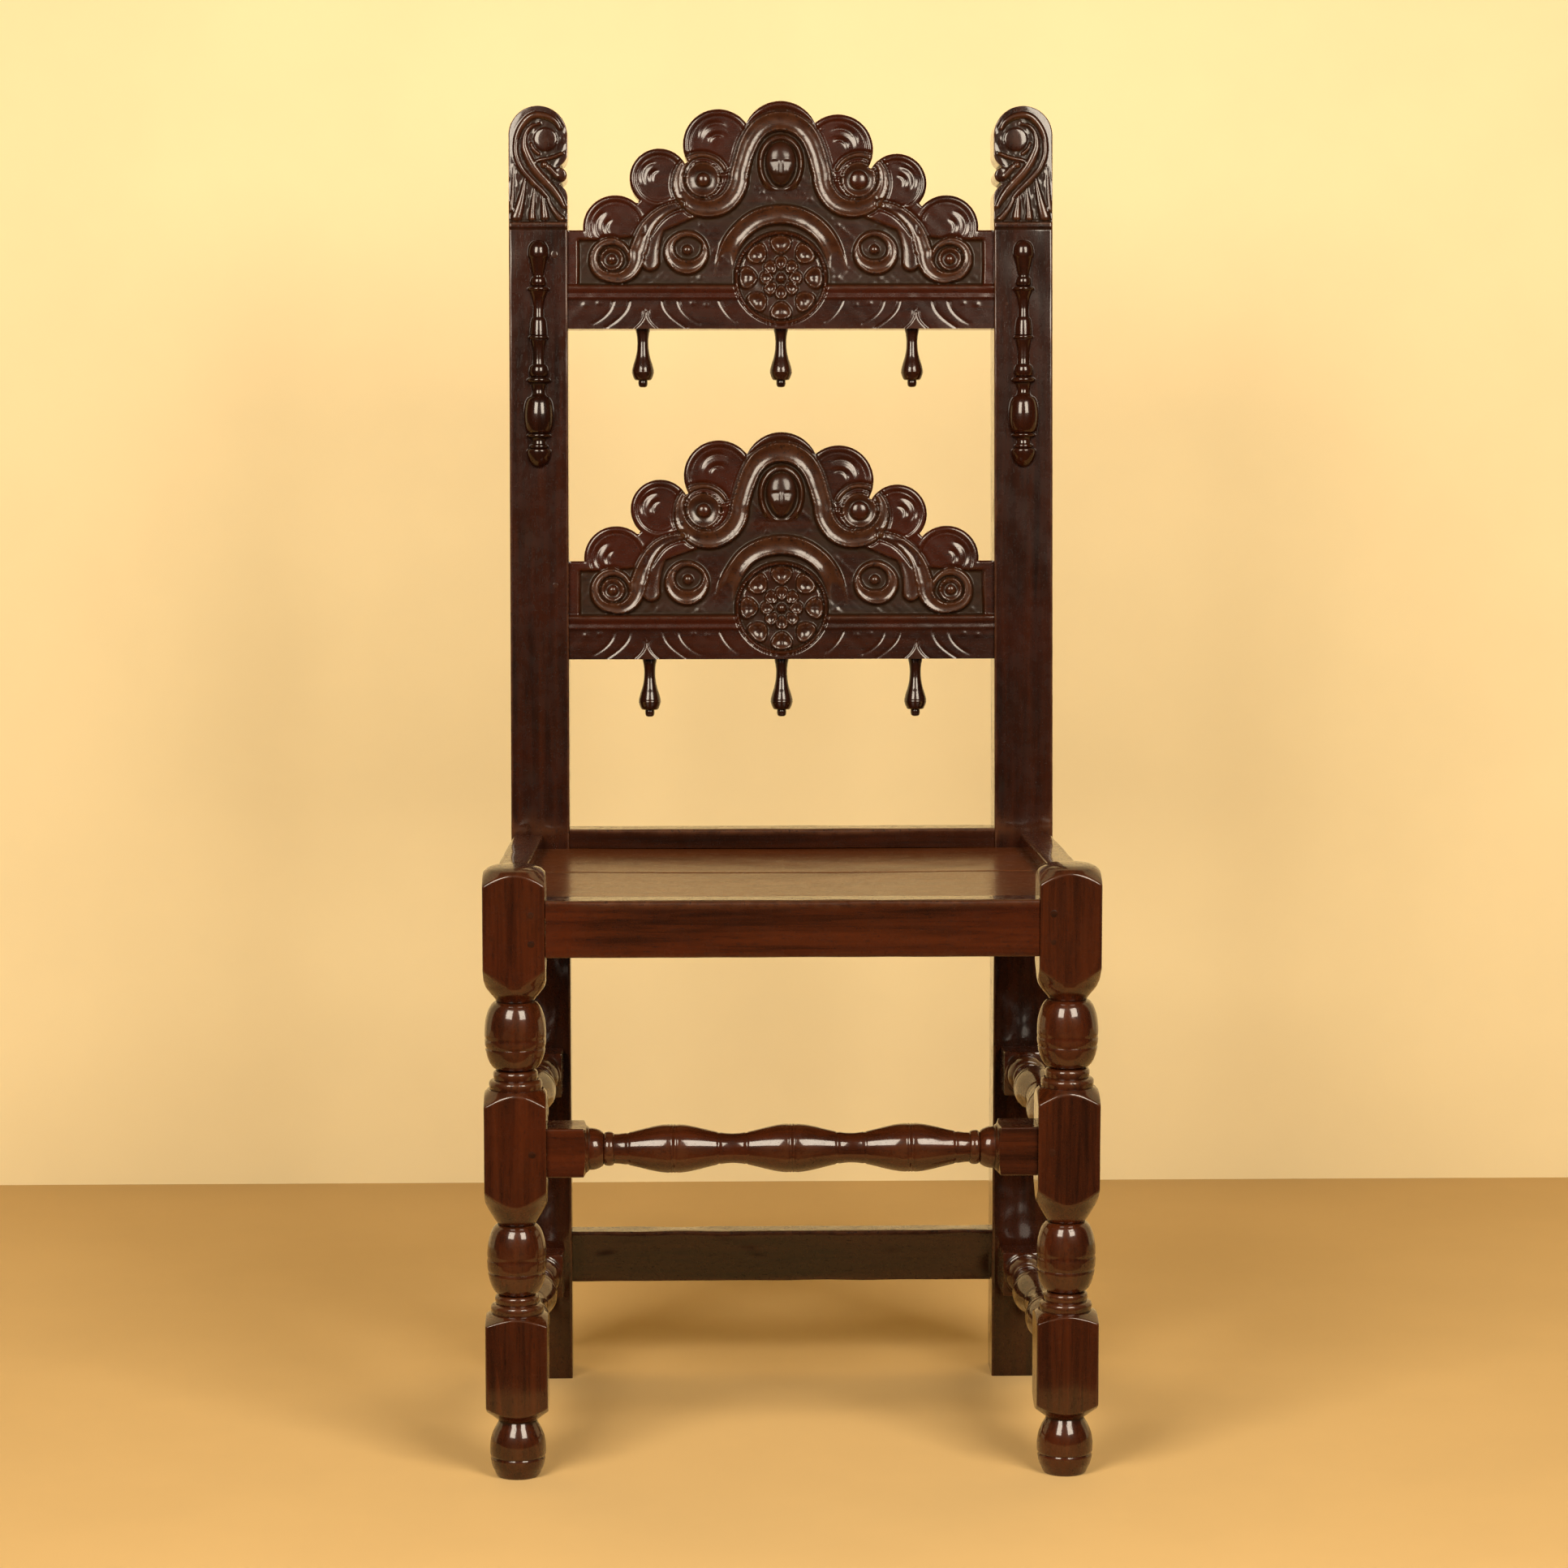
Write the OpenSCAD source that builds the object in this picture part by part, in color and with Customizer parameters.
// Joined oak backstool: turned front legs, raked rear posts, two carved back rails and a sunken boarded seat.
// Every joint is a real one: tenons in mortises, round pegs across them, boards in grooves, spigots in holes.
// Frame: +X to the right as seen from the front, -Y the front, +Z up, origin on the floor under the middle.

/* [Front legs] */
// Width across the outer faces of the two front legs
front_w = 489.4; // [474:0.2:505]
// Side of the square stock of the front legs
leg_w = 50; // [46:0.5:54]
// Height of the domed top of a front leg
leg_h = 495.5; // [494:0.5:505]
// Height at which the corners of the top block are cut by the turned dome
top_block_corner_z = 479.2; // [478:0.2:482]
// Greatest radius of the upper ball
upper_ball_r = 24.6; // [22:0.1:25]
// Greatest radius of the lower ball
lower_ball_r = 23.8; // [22:0.1:25]
// Radius of the turned necks
neck_r = 15.4; // [13:0.1:17]
// Greatest radius of the bun foot
foot_r = 22.4; // [20:0.1:24]
// Radius of the flat that the bun foot stands on
foot_flat_r = 16.8; // [14:0.1:18]

/* [Rear posts] */
// Width across the outer faces of the two rear posts
rear_w = 464; // [450:0.5:474]
// Side of the square stock of the rear posts
post_w = 50; // [46:0.5:52]
// Distance from the front face of the legs to the front face of the posts
post_front_gap = 340; // [310:1:380]
// Height of the bend above which the posts lean back
rake_z = 481; // [481:0.5:490]
// Angle at which the back leans
rake = 5.07; // [3:0.1:8]
// Length of the leaning part, from the bend to the top of the finial
back_l = 616.5; // [610:0.5:640]

/* [Finials] */
// Height, along the post, of the moulded line under the carved finial
finial_base = 517; // [512:0.5:522]
// Depth of the notches beside the bead on the inner side of the finial
finial_notch = 6.2; // [4:0.1:8]
// Radius of the bead between the notches
finial_bead_r = 6.4; // [5:0.1:7]
// Distance from the top of the finial down to the middle of that bead
finial_bead_drop = 59; // [56:0.5:62]
// Depth of the carving on the face of the finial
finial_carve = 3; // [1.5:0.1:4]

/* [Seat] */
// Top of the front seat rail
front_rail_z = 469; // [468:0.5:474]
// Height of the front seat rail
front_rail_h = 45.5; // [42:0.5:50]
// Top of the side seat rails
side_rail_z = 476; // [472:0.5:478]
// Height of the side seat rails
side_rail_h = 52; // [46:0.5:56]
// Top of the rear seat rail
rear_rail_z = 480.5; // [474:0.5:481]
// Height of the rear seat rail
rear_rail_h = 56; // [50:0.5:70]
// Thickness of the front and side seat rails
seat_rail_t = 25; // [23:0.5:28]
// Thickness of the rear seat rail
rear_rail_t = 24; // [22:0.5:28]
// How far the side seat rails stand in from the outer faces of leg and post
side_rail_inset = 2; // [0.5:0.1:4]
// Top of the seat boards
seat_z = 464; // [460:0.5:466]
// Thickness of the seat boards
board_t = 15; // [12:0.5:18]
// Depth of the grooves that hold the seat boards
groove_d = 7; // [5:0.5:9]
// Distance from the front face of the legs to the seam between the seat boards
seam_y = 200; // [150:1:240]
// Width of that seam
seam_gap = 0.5; // [0.2:0.1:1.5]

/* [Stretchers] */
// Side of the square stock of the front stretcher
front_stretcher_w = 39.5; // [36:0.5:42]
// Height of the middle of the front stretcher
front_stretcher_z = 266; // [262:0.5:272]
// Side of the square stock of the side stretchers
side_stretcher_w = 38; // [34:0.5:40]
// Height of the middle of the upper side stretchers
upper_stretcher_z = 272.4; // [264:0.2:278]
// Height of the middle of the lower side stretchers
lower_stretcher_z = 97; // [92:0.5:100]
// Length of the square block at each end of a turned stretcher
end_block_l = 28; // [24:0.5:34]
// Length over which the turning narrows from a square block to the first waist
end_taper_l = 25; // [18:0.5:30]
// Radius of the turned stretchers between their swellings
waist_r = 11.8; // [10:0.1:14]
// Height of the rear stretcher board
rear_stretcher_h = 44; // [36:0.5:50]
// Thickness of the rear stretcher board
rear_stretcher_t = 22; // [18:0.5:26]
// How far the rear stretcher stands in from the back faces of the posts
rear_stretcher_inset = 5; // [3:0.5:8]
// Underside of the rear stretcher board
rear_stretcher_z = 80.5; // [74:0.5:90]

/* [Carved back rails] */
// Underside of the crest rail, measured along the post from the bend
crest_rail_base = 427.1; // [415:0.5:430]
// Underside of the lower back rail, measured along the post from the bend
lower_rail_base = 145; // [120:0.5:160]
// Height of the plain shoulders of a back rail
shoulder_h = 84; // [78:0.5:90]
// Height of a back rail to the top of its middle lobe
crown_h = 194; // [190:0.5:200]
// Radius of the middle lobe
crown_r = 32.2; // [29:0.1:35]
// Radius of the high side lobes
high_lobe_r = 30; // [28:0.1:32]
// Distance of the centres of the high side lobes from the middle of the rail
high_lobe_x = 48.9; // [46:0.1:53]
// Height of the centres of the high side lobes
high_lobe_h = 152.6; // [148:0.1:156]
// Radius of the middle side lobes
mid_lobe_r = 25.3; // [23:0.1:28]
// Distance of the centres of the middle side lobes from the middle of the rail
mid_lobe_x = 99.2; // [95:0.1:104]
// Height of the centres of the middle side lobes
mid_lobe_h = 123.8; // [119:0.1:128]
// Radius of the low side lobes
low_lobe_r = 27.5; // [25:0.1:30]
// Distance of the centres of the low side lobes from the middle of the rail
low_lobe_x = 141.4; // [136:0.1:143]
// Height of the centres of the low side lobes
low_lobe_h = 86.3; // [80:0.1:92]
// How much higher the middle and high lobes were cut on the left
left_lobe_rise = 4.4; // [0:0.2:6]
// How much further out the middle and high lobes were cut on the left
left_lobe_shift = 4.5; // [0:0.5:6]
// Thickness of a back rail
back_rail_t = 26; // [24:0.5:30]
// How far a back rail stands behind the face of the posts
back_rail_inset = 3; // [1:0.5:5]
// Depth to which the ground of the carving is sunk
carve_d = 6; // [3:0.5:8]
// Height of the plain frieze band under the carving
frieze_h = 37.4; // [32:0.2:42]
// Width of the carved straps
strap_w = 17; // [13:0.5:19]
// Radius of the rosette
rosette_r = 37; // [34:0.5:40]
// Height of the middle of the rosette
rosette_h = 43.5; // [42:0.5:48]

/* [Turned ornaments] */
// Length of a pendant below the rail
pendant_l = 49.5; // [47:0.5:58]
// Greatest radius of a pendant
pendant_r = 9; // [7.5:0.1:10.5]
// Distance of the left pendant from the middle of the crest rail
crest_pendant_left_x = 118.2; // [110:0.2:125]
// Distance of the right pendant from the middle of the crest rail
crest_pendant_right_x = 112.4; // [105:0.2:120]
// Distance of the left pendant from the middle of the lower back rail
lower_pendant_left_x = 113.2; // [106:0.2:120]
// Distance of the right pendant from the middle of the lower back rail
lower_pendant_right_x = 114.9; // [108:0.2:122]
// Diameter of a pendant's spigot
spigot_d = 8; // [6:0.5:9]
// Length of a pendant's spigot
spigot_l = 16; // [10:0.5:20]
// Top of the split balusters, measured along the post from the bend
baluster_top = 502.5; // [496:0.5:508]
// Length of a split baluster
baluster_l = 194; // [188:0.5:204]
// Greatest radius of a split baluster
baluster_r = 13; // [11:0.1:15]

/* [Joinery] */
// Thickness of every tenon
tenon_t = 9; // [7:0.5:10]
// Length of every tenon
tenon_l = 23; // [18:0.5:25]
// Distance from the face of leg or post to its mortises
mortise_gauge = 12; // [10:0.5:14]
// Width of the shoulder above and below a tenon
tenon_shoulder = 4; // [3:0.5:6]
// Diameter of the pegs
peg_d = 7; // [5:0.5:8]
// Length of the pegs driven from the faces next to the mortises
peg_l = 24; // [22:0.5:25]
// Clearance round pegs, spigots, tenons and board edges
fit_gap = 0.1; // [0.05:0.05:0.3]

/* [Hidden] */
$fn = 64;

dark_oak = [0.20, 0.09, 0.05];
red_oak = [0.27, 0.12, 0.06];
worn_oak = [0.33, 0.20, 0.12];
seat_oak = [0.36, 0.20, 0.10];

// Overhang used where a cutting shape must pass a face
over = 1;
// Gap left behind the end of every tenon and spigot
end_gap = 1;

// A height over everything, for shapes that only bound others
over_all = rake_z + back_l;

// Places that several pieces share
leg_x = (front_w - leg_w) / 2;
post_x = (rear_w - post_w) / 2;
back_depth = post_front_gap + back_l * sin(rake) + post_w * cos(rake);
front_y = -back_depth / 2;
leg_y = front_y + leg_w / 2;
leg_back_y = front_y + leg_w;
post_y = front_y + post_front_gap;
post_back_y = post_y + post_w;
leg_inner_x = leg_x - leg_w / 2;
post_inner_x = post_x - post_w / 2;
side_run = post_y - leg_back_y;
splay = atan((leg_x + leg_w / 2 - post_x - post_w / 2) / side_run);

// Points of a turned profile, each [radius, height]

// Half an ellipse that swells from radius r0 to r1 and back, from height z0 to z1
function swell(z0, z1, r0, r1, steps = 12) = [for (i = [0:steps])
    [r0 + (r1 - r0) * sin(180 * i / steps), z0 + (z1 - z0) * (1 - cos(180 * i / steps)) / 2]];

// An S curve from radius r0 at z0 to r1 at z1
function sweep_to(z0, z1, r0, r1, steps = 6) = [for (i = [0:steps])
    [r0 + (r1 - r0) * (1 - cos(180 * i / steps)) / 2, z0 + (z1 - z0) * i / steps]];

// A quarter ellipse, full at its start
function dome(z0, z1, r0, r1, steps = 6) = [for (i = [0:steps])
    [r1 + (r0 - r1) * cos(90 * i / steps), z0 + (z1 - z0) * sin(90 * i / steps)]];

// A V groove cut into a profile at height z
function groove_at(z, r, depth, half) = [[r, z - half], [r - depth, z], [r, z + half]];

// Half the diagonal of the square stock, with a little over so that the corners stay sharp
block_r = leg_w * sqrt(2) / 2 + 0.6;

// How far the square blocks of a front leg reach past the rail or stretchers that they hold
top_block_under = 8.5;
mid_block_over = 11.6;
mid_block_under = 9.75;
low_block_over = 10;
low_block_under = 16.5;
// Lengths of the bevels under the blocks, and of the beads and bevels over the low and middle blocks
foot_bevel = 16;
mid_under_bevel = 30.5;
top_under_bevel = 29.5;
low_beads = 23;
mid_beads = 28;
// Height of the widest part of the bun foot
foot_wide_z = 20;

// Heights of the turned stretches of a front leg, bottom to top
low_block_bottom_z = lower_stretcher_z - side_stretcher_w / 2 - low_block_under;
low_block_top_z = lower_stretcher_z + side_stretcher_w / 2 + low_block_over;
mid_block_bottom_z = front_stretcher_z - front_stretcher_w / 2 - mid_block_under;
mid_block_top_z = upper_stretcher_z + side_stretcher_w / 2 + mid_block_over;
top_block_bottom_z = front_rail_z - front_rail_h - top_block_under;
foot_neck_z = low_block_bottom_z - foot_bevel;
low_neck_z = low_block_top_z + low_beads;
lower_ball_top_z = mid_block_bottom_z - mid_under_bevel;
mid_neck_z = mid_block_top_z + mid_beads;
upper_ball_top_z = top_block_bottom_z - top_under_bevel;
// Rise of the bevels above the low, middle and top block, out to the bead above them or to the dome
low_bevel = 8;
mid_bevel = 13.2;
top_bevel = 13.5;
dome_flat = 4.2;
bead_r = neck_r + 5.4;
groove_cut = 0.9;
groove_half = 1.3;

// Two beads that lead from a bevel up to a neck
function beads_below(neck_z, from_z) = concat(
    [[bead_r, from_z]],
    swell(from_z + 1.2, (from_z + neck_z) / 2 - 0.6, bead_r - 2, bead_r - 0.4, 6),
    swell((from_z + neck_z) / 2, neck_z - 1.2, neck_r - 0.4, neck_r + 2.4, 6),
    [[neck_r - 0.8, neck_z]]);

leg_profile = concat(
    [[0, 0], [foot_flat_r - 1.2, 0], [foot_flat_r, 1.2]],
    sweep_to(3, foot_wide_z - 5, foot_flat_r + 1, foot_r - 0.3),
    groove_at(foot_wide_z - 3, foot_r - 0.1, groove_cut, groove_half),
    dome(foot_wide_z, foot_neck_z, foot_r, neck_r),
    [[block_r, low_block_bottom_z], [block_r, low_block_top_z]],
    beads_below(low_neck_z, low_block_top_z + low_bevel),
    swell(low_neck_z + 1, lower_ball_top_z - 1, neck_r - 0.8, lower_ball_r),
    [[neck_r, lower_ball_top_z + 1]],
    [[block_r, mid_block_bottom_z], [block_r, mid_block_top_z]],
    beads_below(mid_neck_z, mid_block_top_z + mid_bevel),
    swell(mid_neck_z + 1, upper_ball_top_z - 1, neck_r - 0.8, upper_ball_r),
    [[neck_r, upper_ball_top_z + 1]],
    [[block_r, top_block_bottom_z], [block_r, top_block_corner_z]],
    dome(top_block_corner_z + top_bevel, leg_h, leg_w / 2 - dome_flat, 0));

// Frames

// Frame of the leaning back: origin on the bend at the posts' front face, +Y behind it, +Z up along the posts
module raked() {
    translate([0, post_y, rake_z]) rotate([-rake, 0, 0]) children();
}

// Stands an outline drawn in X and height upright, from d0 to d1 behind the face of its frame
module upright(d0, d1) {
    rotate([90, 0, 0]) translate([0, 0, -d1]) linear_extrude(d1 - d0) children();
}

// Pieces of a side are written for the right side and mirrored for the left
module on_side(side) {
    if (side < 0) mirror([1, 0, 0]) children();
    else children();
}

module both_sides() {
    children();
    mirror([1, 0, 0]) children();
}

// Frame along the right side: origin at the leg's outer back edge, +Y towards the post, -X inwards
module side_line() {
    translate([leg_x + leg_w / 2, leg_back_y, 0]) rotate([0, 0, splay]) children();
}

// Keeps only what lies between the back face of the leg and the front face of the post
module between_leg_and_post() {
    intersection() {
        children();
        translate([-front_w, leg_back_y, 0]) cube([2 * front_w, side_run, over_all]);
    }
}

// X of a line that runs along the side, c inwards from the outer faces, at a given Y
function side_line_x(c, y) = leg_x + leg_w / 2 - c / cos(splay) - (y - leg_back_y) * tan(splay);

// Curves of the carving

// A curve that leaves p[0] towards p[1] and reaches p[3] from p[2], as points [x, height, width]
function bend_at(p, t) =
    pow(1 - t, 3) * p[0] + 3 * t * pow(1 - t, 2) * p[1] + 3 * t * t * (1 - t) * p[2] + pow(t, 3) * p[3];
function bend(p, w0, w1, first = 0, steps = 8) =
    [for (i = [first:steps]) concat(bend_at(p, i / steps), w0 + (w1 - w0) * i / steps)];

// Width and depth of an incised line
line_w = 1.6;
line_d = 1;

// Half the width of a path, square to it, at its point i
function half_width(path, i) =
    let (ahead = path[min(i + 1, len(path) - 1)], behind = path[max(i - 1, 0)],
        along = [ahead[0] - behind[0], ahead[1] - behind[1]])
    [-along[1], along[0]] * path[i][2] / norm(along) / 2;

// A strap along a path
module strap(path) {
    last = len(path) - 1;
    polygon(concat(
        [for (i = [0:last]) [path[i][0], path[i][1]] + half_width(path, i)],
        [for (i = [last:-1:0]) [path[i][0], path[i][1]] - half_width(path, i)]));
}

// Joints

// How far a tenon is rooted in its own piece, so that it also meets a slanting shoulder
tenon_root = 4;

// A tenon from the origin along +X, its thickness along +Y; grow is the clearance of its mortise
module tenon(height, grow = 0) {
    reach = tenon_l + (grow > 0 ? end_gap : 0);
    translate([-tenon_root, -grow, -height / 2 - grow])
        cube([reach + tenon_root, tenon_t + 2 * grow, height + 2 * grow]);
}

// The tenon of a piece that runs along X into the right leg or post, at depth y and height z
module cross_tenon(inner_x, y, z, height, grow = 0) {
    translate([inner_x, y, z]) tenon(height - 2 * tenon_shoulder, grow);
}

// The two tenons of a piece that runs along the right side, at height z
module side_tenons(z, height, grow = 0) {
    side_line() {
        translate([-mortise_gauge, 0, z]) rotate([0, 0, -90]) mirror([0, 1, 0])
            tenon(height - 2 * tenon_shoulder, grow);
        translate([-mortise_gauge, side_run / cos(splay), z]) rotate([0, 0, 90])
            tenon(height - 2 * tenon_shoulder, grow);
    }
}

// A round peg from the origin along +Y
module peg(length, grow = 0) {
    rotate([-90, 0, 0]) cylinder(d = peg_d + 2 * grow, h = length + grow, $fn = 32);
}

// Pegs of a cross piece's right tenon, driven from the front face at y
module front_pegs(inner_x, y, heights, grow = 0) {
    for (z = heights) translate([inner_x + tenon_l / 2, y, z]) peg(peg_l, grow);
}

// Pegs of a cross piece's right tenon, driven from the back face at y
module back_pegs(inner_x, y, heights, length, grow = 0) {
    for (z = heights) translate([inner_x + tenon_l / 2, y, z]) mirror([0, 1, 0]) peg(length, grow);
}

// Pegs of a side piece's two tenons, driven from the outer faces of leg and post
module side_pegs(heights, grow = 0) {
    for (z = heights) {
        translate([leg_x + leg_w / 2, leg_back_y - tenon_l / 2, z]) rotate([0, 0, 90]) peg(peg_l, grow);
        translate([post_x + post_w / 2, post_y + tenon_l / 2, z]) rotate([0, 0, 90]) peg(peg_l, grow);
    }
}

// Two heights for the pegs of a tall tenon
function peg_pair(z, height) = [z - height / 4, z + height / 4];

// Middles of the joined pieces
front_rail_mid = front_rail_z - front_rail_h / 2;
side_rail_mid = side_rail_z - side_rail_h / 2;
rear_rail_mid = rear_rail_z - rear_rail_h / 2;
rear_stretcher_mid = rear_stretcher_z + rear_stretcher_h / 2;
rear_stretcher_back = post_back_y - rear_stretcher_inset;
front_gauge_y = front_y + mortise_gauge;
rear_rail_gauge_y = post_y + mortise_gauge;
rear_stretcher_gauge_y = post_back_y - mortise_gauge - tenon_t;
// A peg from the back face that reaches through a tenon gauged from the front face
long_peg_l = post_w - mortise_gauge + 2;

// Front legs

module front_leg(side) {
    on_side(side) difference() {
        translate([leg_x, leg_y, 0]) intersection() {
            rotate_extrude() polygon(leg_profile);
            translate([-leg_w / 2, -leg_w / 2, 0]) cube([leg_w, leg_w, leg_h]);
        }
        front_leg_cuts();
    }
}

module front_leg_cuts() {
    cross_tenon(leg_inner_x, front_gauge_y, front_rail_mid, front_rail_h, fit_gap);
    cross_tenon(leg_inner_x, front_gauge_y, front_stretcher_z, front_stretcher_w, fit_gap);
    side_tenons(side_rail_mid, side_rail_h, fit_gap);
    side_tenons(upper_stretcher_z, side_stretcher_w, fit_gap);
    side_tenons(lower_stretcher_z, side_stretcher_w, fit_gap);
    front_pegs(leg_inner_x, front_y, peg_pair(front_rail_mid, front_rail_h), fit_gap);
    front_pegs(leg_inner_x, front_y, [front_stretcher_z], fit_gap);
    side_pegs(concat(peg_pair(side_rail_mid, side_rail_h), [upper_stretcher_z, lower_stretcher_z]), fit_gap);
}

// Rear posts

// Height at which the back face of a post bends
post_back_bend_z = rake_z - post_w * tan(rake / 2);

module post_side_outline() {
    polygon([
        [0, 0], [post_w, 0], [post_w, post_back_bend_z],
        [post_w * cos(rake) + back_l * sin(rake), rake_z - post_w * sin(rake) + back_l * cos(rake)],
        [back_l * sin(rake), rake_z + back_l * cos(rake)], [0, rake_z]]);
}

// The finial, in X from the middle of the post and height from the bend
half_post = post_w / 2;
finial_arch_w = back_l - half_post;
finial_bead_w = back_l - finial_bead_drop;
// Radius of the scroll's lip above the upper notch and of the shoulder below the lower one
scroll_lip_r = half_post / 2;
scroll_lip_gap = 19;
// Width of the grooves of the scroll and its stem, and of the flutes of the leaf at their feet
scroll_line_w = 3;
flute_w = 5;
moulding_w = 2;

// What the saw takes off above and beside the finial of the right post; its inner side is -X
module finial_waste() {
    difference() {
        translate([-half_post - over, finial_arch_w]) square([post_w + 2 * over, half_post + over]);
        translate([0, finial_arch_w]) circle(r = half_post);
    }
    difference() {
        translate([-half_post - over, finial_bead_w - scroll_lip_gap])
            square([finial_notch + over, 2 * scroll_lip_gap]);
        for (way = [-1, 1]) translate([scroll_lip_r - half_post, finial_bead_w + way * scroll_lip_gap])
            circle(r = scroll_lip_r);
        translate([finial_bead_r - half_post + 0.5, finial_bead_w]) circle(r = finial_bead_r);
    }
}

// Curves of the finial, in X from the middle of the post and height from the middle of the arch
scroll_start = [[-17, -11.5], [-21, -1.5], [-17, 11.5], [-3, 12.5]];
scroll_over = [[-3, 12.5], [8, 13], [14, 4.5], [14.5, -7.5]];
scroll_stem = [[14.5, -7.5], [14.5, -23.5], [4, -35.5], [-6, -46.5]];
scroll_foot = [[-6, -46.5], [-11, -51.5], [-15, -56], [-17.5, -61.5]];
stem_line = [[19.5, -18], [18.5, -34], [8, -43], [-3, -56.5]];
leaf_flutes = [
    [[-4, -57.5], [-7, -62.5], [-11, -67.5], [-13, -74.5]],
    [[1, -54.5], [0, -61.5], [0, -67.5], [-0.6, -74.5]],
    [[8, -48.5], [9, -58.5], [11, -66.5], [12, -74.5]]];
scroll_eye = [-7.5, -3];
scroll_eye_r = 7.5;

// Groove of the scroll that runs down as a stem, a second line beside it, and the flutes of a leaf
module finial_carving() {
    translate([0, finial_arch_w]) {
        strap(concat(
            bend(scroll_start, line_w / 2, scroll_line_w),
            bend(scroll_over, scroll_line_w, scroll_line_w, 1),
            bend(scroll_stem, scroll_line_w, scroll_line_w, 1),
            bend(scroll_foot, scroll_line_w, line_w / 2, 1)));
        strap(bend(stem_line, line_w / 2, scroll_line_w - line_w / 2));
        for (flute = leaf_flutes) strap(bend(flute, line_w / 2, flute_w));
        translate(scroll_eye) difference() {
            circle(r = scroll_eye_r);
            circle(r = scroll_eye_r - line_w);
        }
    }
    translate([-half_post - over, finial_base]) square([post_w + 2 * over, moulding_w]);
}

module rear_post(side) {
    on_side(side) difference() {
        translate([post_inner_x, post_y, 0]) rotate([90, 0, 90]) linear_extrude(post_w) post_side_outline();
        raked() translate([post_x, 0, 0]) {
            upright(-over, post_w + over) finial_waste();
            upright(-over, finial_carve) finial_carving();
        }
        rear_post_cuts();
    }
}

module rear_post_cuts() {
    cross_tenon(post_inner_x, rear_rail_gauge_y, rear_rail_mid, rear_rail_h, fit_gap);
    cross_tenon(post_inner_x, rear_stretcher_gauge_y, rear_stretcher_mid, rear_stretcher_h, fit_gap);
    side_tenons(side_rail_mid, side_rail_h, fit_gap);
    side_tenons(upper_stretcher_z, side_stretcher_w, fit_gap);
    side_tenons(lower_stretcher_z, side_stretcher_w, fit_gap);
    back_pegs(post_inner_x, post_back_y, peg_pair(rear_rail_mid, rear_rail_h), long_peg_l, fit_gap);
    back_pegs(post_inner_x, post_back_y, [rear_stretcher_mid], peg_l, fit_gap);
    side_pegs(concat(peg_pair(side_rail_mid, side_rail_h), [upper_stretcher_z, lower_stretcher_z]), fit_gap);
    raked() for (base = [crest_rail_base, lower_rail_base]) {
        cross_tenon(post_inner_x, mortise_gauge, base + shoulder_h / 2, shoulder_h, fit_gap);
        front_pegs(post_inner_x, 0, peg_pair(base + shoulder_h / 2, shoulder_h), fit_gap);
    }
}

// Seat rails

// Groove for the seat boards, between the heights of their faces
groove_z = seat_z - board_t - fit_gap;
groove_h = board_t + 2 * fit_gap;

module front_seat_rail() {
    color(red_oak) difference() {
        union() {
            translate([-leg_inner_x, front_y, front_rail_z - front_rail_h])
                cube([2 * leg_inner_x, seat_rail_t, front_rail_h]);
            both_sides() cross_tenon(leg_inner_x, front_gauge_y, front_rail_mid, front_rail_h);
        }
        translate([-leg_inner_x, front_y + seat_rail_t - groove_d, groove_z])
            cube([2 * leg_inner_x, groove_d + over, groove_h]);
        both_sides() front_pegs(leg_inner_x, front_y, peg_pair(front_rail_mid, front_rail_h), fit_gap);
    }
}

module rear_seat_rail() {
    color(dark_oak) difference() {
        union() {
            translate([-post_inner_x, post_y, rear_rail_z - rear_rail_h])
                cube([2 * post_inner_x, rear_rail_t, rear_rail_h]);
            both_sides() cross_tenon(post_inner_x, rear_rail_gauge_y, rear_rail_mid, rear_rail_h);
        }
        translate([-post_inner_x, post_y - over, groove_z])
            cube([2 * post_inner_x, groove_d + over, groove_h]);
        both_sides()
            back_pegs(post_inner_x, post_back_y, peg_pair(rear_rail_mid, rear_rail_h), long_peg_l, fit_gap);
    }
}

module side_seat_rail(side) {
    color(dark_oak) on_side(side) difference() {
        union() {
            between_leg_and_post() side_line()
                translate([-side_rail_inset - seat_rail_t, -leg_w, side_rail_z - side_rail_h])
                    cube([seat_rail_t, side_run + 2 * leg_w, side_rail_h]);
            side_tenons(side_rail_mid, side_rail_h);
        }
        between_leg_and_post() side_line()
            translate([-side_rail_inset - seat_rail_t - over, -leg_w, groove_z])
                cube([groove_d + over, side_run + 2 * leg_w, groove_h]);
        side_pegs(peg_pair(side_rail_mid, side_rail_h), fit_gap);
    }
}

// Seat boards

board_edge_c = side_rail_inset + seat_rail_t - groove_d + fit_gap;
board_front_y = front_y + seat_rail_t - groove_d + fit_gap;
board_notch_y = leg_back_y + fit_gap;
board_back_y = post_y + groove_d - fit_gap;
board_post_y = post_y - fit_gap;
seam = front_y + seam_y;

// Draws a board from the points of its right half, front to back
module seat_board(points) {
    last = len(points) - 1;
    color(seat_oak) translate([0, 0, seat_z - board_t]) linear_extrude(board_t)
        polygon(concat(points, [for (i = [0:last]) [-points[last - i][0], points[last - i][1]]]));
}

module seat_board_front() {
    seat_board([
        [leg_inner_x - fit_gap, board_front_y], [leg_inner_x - fit_gap, board_notch_y],
        [side_line_x(board_edge_c, board_notch_y), board_notch_y],
        [side_line_x(board_edge_c, seam - seam_gap / 2), seam - seam_gap / 2]]);
}

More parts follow.
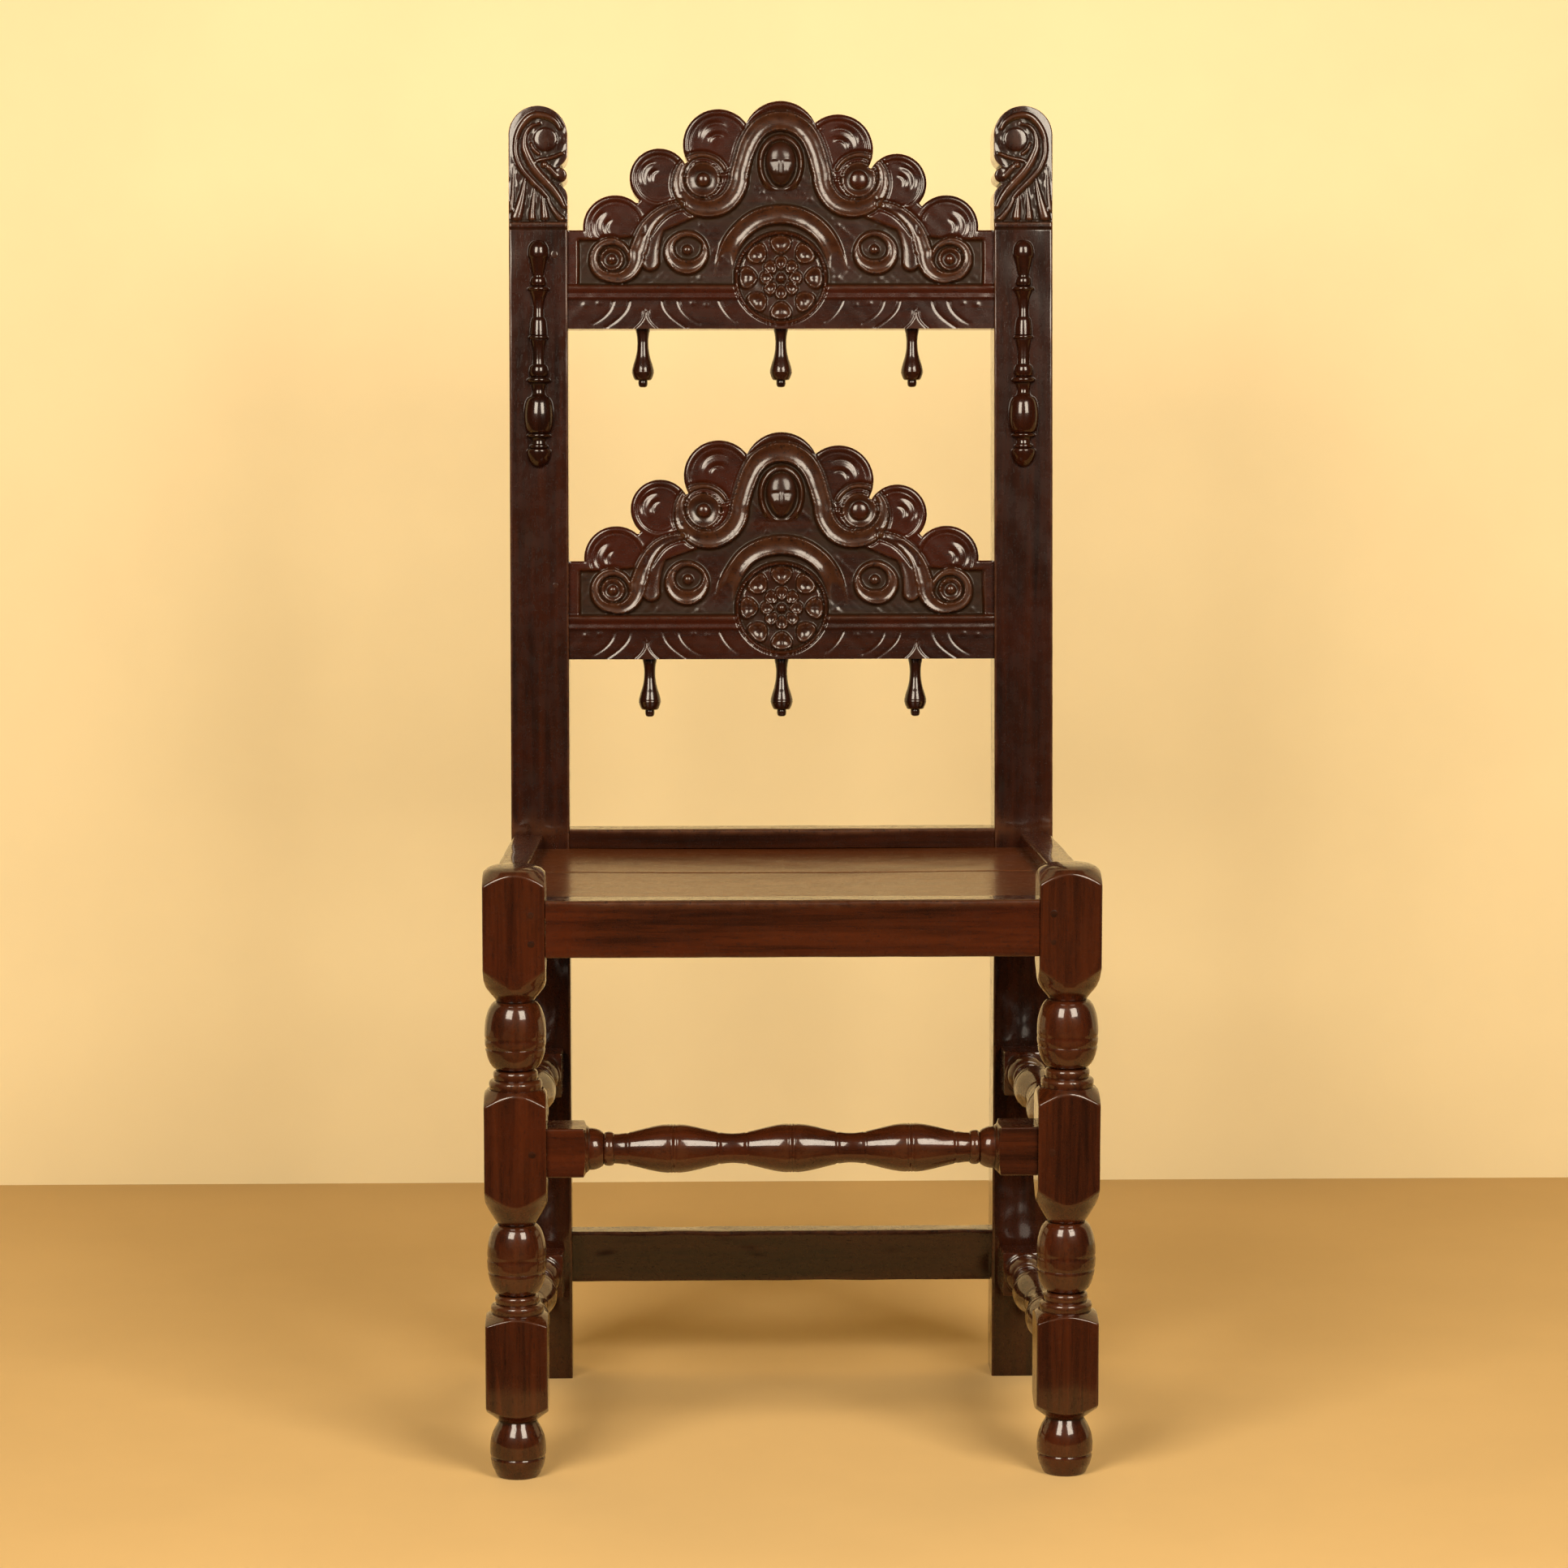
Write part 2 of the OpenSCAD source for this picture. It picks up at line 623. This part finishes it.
module seat_board_rear() {
    seat_board([
        [side_line_x(board_edge_c, seam + seam_gap / 2), seam + seam_gap / 2],
        [side_line_x(board_edge_c, board_post_y), board_post_y],
        [post_inner_x - fit_gap, board_post_y], [post_inner_x - fit_gap, board_back_y]]);
}

// Stretchers

// Radius of a swelling that comes up to the square of the stock
function swell_r(stock) = stock / 2 - 0.3;

// Points of the turned middle of a stretcher: a taper at each end and a row of long swellings between
function stretcher_profile(length, stock, swellings) =
    let (half = length / 2 - end_taper_l, pitch = 2 * half / swellings, big = swell_r(stock))
    concat(
        [[0, -length / 2]],
        [for (i = [0:6]) [waist_r + (big - waist_r) * (1 + cos(30 * i)) / 2, -length / 2 + end_taper_l * i / 6]],
        [for (i = [1:12 * swellings - 1]) [waist_r + (big - waist_r) * (1 - cos(30 * i)) / 2, -half + pitch * i / 12]],
        [for (i = [0:6]) [waist_r + (big - waist_r) * (1 - cos(30 * i)) / 2, half + end_taper_l * i / 6]],
        [[0, length / 2]]);

// A turned stretcher along +Y, centred on the origin, its square ends longer by extra
module turned_stretcher(length, stock, swellings, extra = 0) {
    turned = length - 2 * end_block_l;
    rotate([-90, 0, 0]) rotate_extrude() polygon(stretcher_profile(turned, stock, swellings));
    for (way = [0, 1]) mirror([0, way, 0])
        translate([-stock / 2, turned / 2 - over, -stock / 2]) cube([stock, end_block_l + over + extra, stock]);
}

module front_stretcher() {
    color(red_oak) difference() {
        union() {
            translate([0, leg_y, front_stretcher_z]) rotate([0, 0, 90])
                turned_stretcher(2 * leg_inner_x, front_stretcher_w, 3);
            both_sides() cross_tenon(leg_inner_x, front_gauge_y, front_stretcher_z, front_stretcher_w);
        }
        both_sides() front_pegs(leg_inner_x, front_y, [front_stretcher_z], fit_gap);
    }
}

module side_stretcher(side, z) {
    color(dark_oak) on_side(side) difference() {
        union() {
            between_leg_and_post() side_line()
                translate([-leg_w / 2, side_run / cos(splay) / 2, z])
                    turned_stretcher(side_run / cos(splay), side_stretcher_w, 2, tenon_root);
            side_tenons(z, side_stretcher_w);
        }
        side_pegs([z], fit_gap);
    }
}

module rear_stretcher() {
    color(dark_oak) difference() {
        union() {
            translate([-post_inner_x, rear_stretcher_back - rear_stretcher_t, rear_stretcher_z])
                cube([2 * post_inner_x, rear_stretcher_t, rear_stretcher_h]);
            both_sides() cross_tenon(post_inner_x, rear_stretcher_gauge_y, rear_stretcher_mid, rear_stretcher_h);
        }
        both_sides() back_pegs(post_inner_x, post_back_y, [rear_stretcher_mid], peg_l, fit_gap);
    }
}

// Carved back rails, drawn in X and height above the rail's underside

// Middle of each lobe [x, height, radius] on one side; way is 1 for the right and -1 for the left
function side_lobes(way) =
    let (rise = way < 0 ? left_lobe_rise : 0, shift = way < 0 ? left_lobe_shift : 0) [
    [way * low_lobe_x, low_lobe_h, low_lobe_r],
    [way * (mid_lobe_x + shift), mid_lobe_h + rise, mid_lobe_r],
    [way * (high_lobe_x + shift), high_lobe_h + rise, high_lobe_r]];
crown = [0, crown_h - crown_r, crown_r];
left_lobes = side_lobes(-1);
right_lobes = side_lobes(1);
lobes = concat(left_lobes, [crown], [for (i = [2:-1:0]) right_lobes[i]]);

// The scalloped field over the shoulders, drawn smaller by shrink
module scallops(shrink = 0) {
    for (lobe = lobes) translate([lobe[0], lobe[1]]) circle(r = lobe[2] - shrink);
    polygon(concat(
        [[lobes[0][0], shoulder_h - shrink - over]],
        [for (lobe = lobes) [lobe[0], lobe[1]]],
        [[lobes[6][0], shoulder_h - shrink - over]]));
}

module rail_outline() {
    translate([-post_inner_x, 0]) square([2 * post_inner_x, shoulder_h]);
    scallops();
}

// Depths of the carving behind the face of the frame, and the cuts made into it
strap_level = back_rail_inset;
lobe_level = strap_level + carve_d * 0.4;
ground_level = strap_level + carve_d;
rail_back = back_rail_inset + back_rail_t;
// Distances of the incised line from the edge of a lobe, and of the ground from the ends of the rail
lobe_border = 5.4;
field_margin = 9;

// Volutes as [x, height, radius] and the arch of straps that ends in them
upper_volute = [68, 128.5, 22];
inner_volute = [80.5, 65, 21];
outer_volute = [144.5, 59.5, 19];
// Width of a strap where it runs into a volute
strap_end_w = 9;
// Heights of the middle lines of the two arches over the middle of the rail
upper_arch_h = crown_h - strap_w;
lower_arch_h = rosette_h + rosette_r + strap_w;

// The path that hangs under a volute, from its inner side round its foot to its outer side, tapering
function under_volute(v, from, w0, w1) =
    let (foot = v[1] - v[2] - w1 / 2, outer = v[0] + v[2], bulge = v[2] * 0.55)
    concat(
        bend([from, [from[0] + v[2] / 6, v[1] - v[2] * 0.75], [v[0] - v[2] * 0.75, foot], [v[0], foot]], w0, w1, 1),
        bend([[v[0], foot], [v[0] + bulge, foot], [outer, v[1] - bulge], [outer - 1, v[1]]], w1, 1, 1));

// Middle lines of the straps
upper_side = [36, 128];
lower_side = [56, 64];
outer_side = [122, 66];
upper_arch = [[-over, upper_arch_h], [27, upper_arch_h], [30, 150], upper_side];
lower_arch = [[-over, lower_arch_h], [26, lower_arch_h], [42, 82], lower_side];
outer_strap = [[82, 104.5], [112, 102], [116, 84], outer_side];
tongue = [[104, 88], [109, 76], [111, 66], [111, 52]];
tongue_w = 14;
// How much narrower the straps get on their way down
strap_taper = 3;

module straps() {
    strap(concat(
        bend(upper_arch, strap_w, strap_w - strap_taper / 3),
        under_volute(upper_volute, upper_side, strap_w - strap_taper / 3, strap_end_w + strap_taper)));
    strap(concat(
        bend(outer_strap, strap_end_w, strap_w - strap_taper),
        under_volute(outer_volute, outer_side, strap_w - strap_taper, strap_end_w / 3)));
    strap(concat(
        bend(lower_arch, strap_w - strap_taper / 3, strap_w - strap_taper),
        under_volute(inner_volute, lower_side, strap_w - strap_taper, strap_end_w / 3)));
    strap(bend(tongue, strap_end_w, tongue_w));
    translate(tongue[3]) circle(d = tongue_w);
    for (v = [upper_volute, inner_volute, outer_volute]) translate([v[0], v[1]]) circle(r = v[2]);
}

// Rings cut into the volutes, round a raised eye
module volute_rings() {
    for (v = [upper_volute, inner_volute, outer_volute]) translate([v[0], v[1]]) difference() {
        circle(r = v[2] * 0.68);
        circle(r = v[2] * 0.34);
    }
}

// The rosette: a rim, eight outer and eight inner petals standing in a sunk ring, and an eye
rosette_petals = 8;
rosette_rim_w = 3;
outer_petal_r = 5.6;
inner_petal_r = 4;
petal_stem_w = 1.6;
rosette_eye_r = 4.4;

module rosette_sinking() {
    outer_x = rosette_r - rosette_rim_w - outer_petal_r;
    inner_x = rosette_eye_r + 2 * inner_petal_r;
    difference() {
        circle(r = rosette_r - rosette_rim_w);
        circle(r = rosette_eye_r);
        for (i = [1:rosette_petals]) rotate([0, 0, 360 * i / rosette_petals]) {
            translate([outer_x - line_d, 0]) circle(r = outer_petal_r);
            translate([inner_x, 0]) circle(r = inner_petal_r);
            translate([rosette_eye_r + petal_stem_w, -petal_stem_w / 2])
                square([inner_x - rosette_eye_r, petal_stem_w]);
        }
    }
}

// The head under the arch: an oval between the locks of a hood
head_h = 140;
head_w = 27;
head_l = 33;
hood_w = 9;
hood_gap = 2;
module head_outline(grow = 0) {
    brow_h = head_h + head_l / 4;
    chin_h = head_h - head_l / 3;
    chin_w = head_w * 0.72;
    translate([0, brow_h]) circle(d = head_w + 2 * grow);
    translate([0, chin_h]) circle(d = chin_w + 2 * grow);
    polygon([
        [-head_w * 0.49 - grow, brow_h], [head_w * 0.49 + grow, brow_h],
        [chin_w * 0.49 + grow, chin_h], [-chin_w * 0.49 - grow, chin_h]]);
}
module hood_outline() {
    difference() {
        intersection() {
            head_outline(hood_w);
            translate([-head_w, head_h - head_l / 2]) square([2 * head_w, 3 * head_w]);
        }
        head_outline(hood_gap);
    }
}

// The ground that is sunk between the straps, with an arch that lies under the upper strap
arch_ground_r = 2 * strap_w;
module sunk_field() {
    under_shoulder = shoulder_h - lobe_border;
    spring = [arch_ground_r + over, upper_arch_h - arch_ground_r];
    waist = [upper_volute[0] + strap_end_w, upper_volute[1] - upper_volute[2]];
    end = [outer_volute[0] - outer_volute[2], under_shoulder - over];
    translate([-post_inner_x + field_margin, frieze_h])
        square([2 * (post_inner_x - field_margin), under_shoulder - frieze_h]);
    polygon([
        [-end[0], end[1]], [-waist[0], waist[1]], [-spring[0], spring[1]],
        spring, waist, end]);
    translate([0, spring[1]]) circle(r = arch_ground_r);
}

// The incised leaf pattern of the frieze, one half of a repeat about a pendant's place
frieze_repeat_x = 116;
frieze_top = 22.9;
near_leaf = [[14.5, frieze_top], [15, 13.9], [22, 8], [34, 1]];
far_leaf = [[28, frieze_top], [29, 15.9], [36, 9], [46, 4]];
bud = [[0, 15], [2, 12], [5, 6], [10.5, 2]];
inner_leaf = [[50, frieze_top], [49, 16.9], [46, 10], [40, 5]];
// Length and spacing of the pair of cuts in each lobe
lobe_cut_l = 13;
lobe_cut_gap = 6;

// Every line cut into the frieze
module frieze_lines() {
    translate([-post_inner_x + over, frieze_top + line_w]) square([2 * (post_inner_x - over), line_w]);
    both_sides() {
        for (way = [0, 1]) translate([frieze_repeat_x, 0]) mirror([way, 0])
            for (leaf = [near_leaf, far_leaf, bud]) strap(bend(leaf, line_w, line_w));
        strap(bend(inner_leaf, line_w, line_w));
    }
}

// A line inside the edge of the lobes and a pair of slanting cuts in each
module lobe_lines() {
    difference() {
        scallops(lobe_border);
        scallops(lobe_border + line_w);
    }
    for (lobe = lobes) translate([lobe[0], lobe[1]]) rotate([0, 0, lobe[0] > 0 ? 130 : 50]) for (way = [-1, 1])
        translate([over, (way * lobe_cut_gap - line_w) / 2]) square([lobe_cut_l, line_w]);
}

module back_rail(base, pendant_left_x, pendant_right_x) {
    color(worn_oak) raked() difference() {
        union() {
            translate([0, 0, base]) carved_board();
            both_sides() cross_tenon(post_inner_x, mortise_gauge, base + shoulder_h / 2, shoulder_h);
        }
        both_sides() front_pegs(post_inner_x, 0, peg_pair(base + shoulder_h / 2, shoulder_h), fit_gap);
        for (x = [-pendant_left_x, 0, pendant_right_x]) translate([x, pendant_depth, base - over])
            cylinder(d = spigot_d + 2 * fit_gap, h = spigot_l + end_gap + over);
    }
}

module carved_board() {
    difference() {
        upright(lobe_level, rail_back) rail_outline();
        upright(lobe_level - over, ground_level) sunk_field();
        upright(lobe_level - over, lobe_level + line_d) lobe_lines();
    }
    difference() {
        upright(strap_level, lobe_level + over)
            translate([-post_inner_x, 0]) square([2 * post_inner_x, frieze_h]);
        upright(strap_level - over, strap_level + line_d) frieze_lines();
        upright(strap_level - over, lobe_level) translate([0, rosette_h]) circle(r = rosette_r - rosette_rim_w / 2);
    }
    difference() {
        upright(strap_level, ground_level + over) {
            both_sides() straps();
            translate([0, rosette_h]) circle(r = rosette_r);
        }
        upright(strap_level - over, lobe_level) {
            both_sides() volute_rings();
            translate([0, rosette_h]) rosette_sinking();
        }
    }
    upright(strap_level + line_d, ground_level + over) {
        head_outline();
        hood_outline();
    }
}

// Turned ornaments

pendant_depth = back_rail_inset + back_rail_t / 2;

// Profile of a pendant, from its tip up to the collar under the rail
pendant_profile = concat(
    [[0, -pendant_l]],
    swell(-pendant_l, -pendant_l + 6, 2.2, 4, 6),
    swell(-pendant_l + 6.4, -pendant_l + 36, 3.4, pendant_r),
    [[4.3, -pendant_l + 38], [4.8, -8]],
    swell(-7, -3, 5, 6.6, 6),
    [[6.2, -2.6], [6.2, 0], [0, 0]]);

module pendant(base, x) {
    color(dark_oak) raked() translate([x, pendant_depth, base]) {
        rotate_extrude() polygon(pendant_profile);
        cylinder(d = spigot_d, h = spigot_l);
    }
}

// Profile of a split baluster, from its lower tip up
baluster_profile = concat(
    [[0, -baluster_l]],
    [for (i = [1:6]) [9.6 * sin(15 * i), -baluster_l + 18 * (1 - cos(15 * i))]],
    swell(-baluster_l + 18, -baluster_l + 24.5, 8.4, 10, 6),
    [[6, -baluster_l + 26], [6, -baluster_l + 29]],
    swell(-baluster_l + 29.5, -baluster_l + 61, 7, baluster_r),
    [[5.6, -baluster_l + 63], [5.6, -122]],
    swell(-120, -109, 6.6, 9, 6),
    [[4.8, -106], [4.8, -83], [6.4, -81], [6.4, -68], [4.8, -66], [5.2, -42]],
    swell(-40, -35.5, 6, 7.8, 6),
    [[4.6, -34], [4.6, -31], [8.8, -12]],
    dome(-10, 0, 8.8, 3),
    [[0, 0]]);

module split_baluster(side) {
    color(dark_oak) raked() translate([side * post_x, 0, baluster_top]) intersection() {
        rotate_extrude() polygon(baluster_profile);
        translate([-baluster_r - over, -baluster_r - over, -baluster_l - over])
            cube([2 * baluster_r + 2 * over, baluster_r + over, baluster_l + 2 * over]);
    }
}

// Pegs, grouped by the piece that they hold

module front_seat_rail_pegs() {
    color(worn_oak) both_sides() front_pegs(leg_inner_x, front_y, peg_pair(front_rail_mid, front_rail_h));
}

module rear_seat_rail_pegs() {
    color(worn_oak) both_sides()
        back_pegs(post_inner_x, post_back_y, peg_pair(rear_rail_mid, rear_rail_h), long_peg_l);
}

module side_seat_rail_pegs(side) {
    color(worn_oak) on_side(side) side_pegs(peg_pair(side_rail_mid, side_rail_h));
}

module front_stretcher_pegs() {
    color(worn_oak) both_sides() front_pegs(leg_inner_x, front_y, [front_stretcher_z]);
}

module side_stretcher_pegs(side) {
    color(worn_oak) on_side(side) side_pegs([upper_stretcher_z, lower_stretcher_z]);
}

module rear_stretcher_pegs() {
    color(worn_oak) both_sides() back_pegs(post_inner_x, post_back_y, [rear_stretcher_mid], peg_l);
}

module back_rail_pegs(base) {
    color(worn_oak) raked() both_sides()
        front_pegs(post_inner_x, 0, peg_pair(base + shoulder_h / 2, shoulder_h));
}

// Named nodes

color(dark_oak) front_leg(-1);  // left_front_leg
color(dark_oak) front_leg(1);  // right_front_leg
color(dark_oak) rear_post(-1);  // left_rear_post
color(dark_oak) rear_post(1);  // right_rear_post
front_seat_rail();
side_seat_rail(-1);  // left_seat_rail
side_seat_rail(1);  // right_seat_rail
rear_seat_rail();
seat_board_front();
seat_board_rear();
front_stretcher();
side_stretcher(-1, upper_stretcher_z);  // left_upper_stretcher
side_stretcher(1, upper_stretcher_z);  // right_upper_stretcher
side_stretcher(-1, lower_stretcher_z);  // left_lower_stretcher
side_stretcher(1, lower_stretcher_z);  // right_lower_stretcher
rear_stretcher();
back_rail(crest_rail_base, crest_pendant_left_x, crest_pendant_right_x);  // crest_rail
back_rail(lower_rail_base, lower_pendant_left_x, lower_pendant_right_x);  // lower_back_rail
pendant(crest_rail_base, -crest_pendant_left_x);  // crest_pendant_left
pendant(crest_rail_base, 0);  // crest_pendant_centre
pendant(crest_rail_base, crest_pendant_right_x);  // crest_pendant_right
pendant(lower_rail_base, -lower_pendant_left_x);  // lower_pendant_left
pendant(lower_rail_base, 0);  // lower_pendant_centre
pendant(lower_rail_base, lower_pendant_right_x);  // lower_pendant_right
split_baluster(-1);  // left_split_baluster
split_baluster(1);  // right_split_baluster
front_seat_rail_pegs();
side_seat_rail_pegs(-1);  // left_seat_rail_pegs
side_seat_rail_pegs(1);  // right_seat_rail_pegs
rear_seat_rail_pegs();
front_stretcher_pegs();
side_stretcher_pegs(-1);  // left_stretcher_pegs
side_stretcher_pegs(1);  // right_stretcher_pegs
rear_stretcher_pegs();
back_rail_pegs(crest_rail_base);  // crest_rail_pegs
back_rail_pegs(lower_rail_base);  // lower_back_rail_pegs
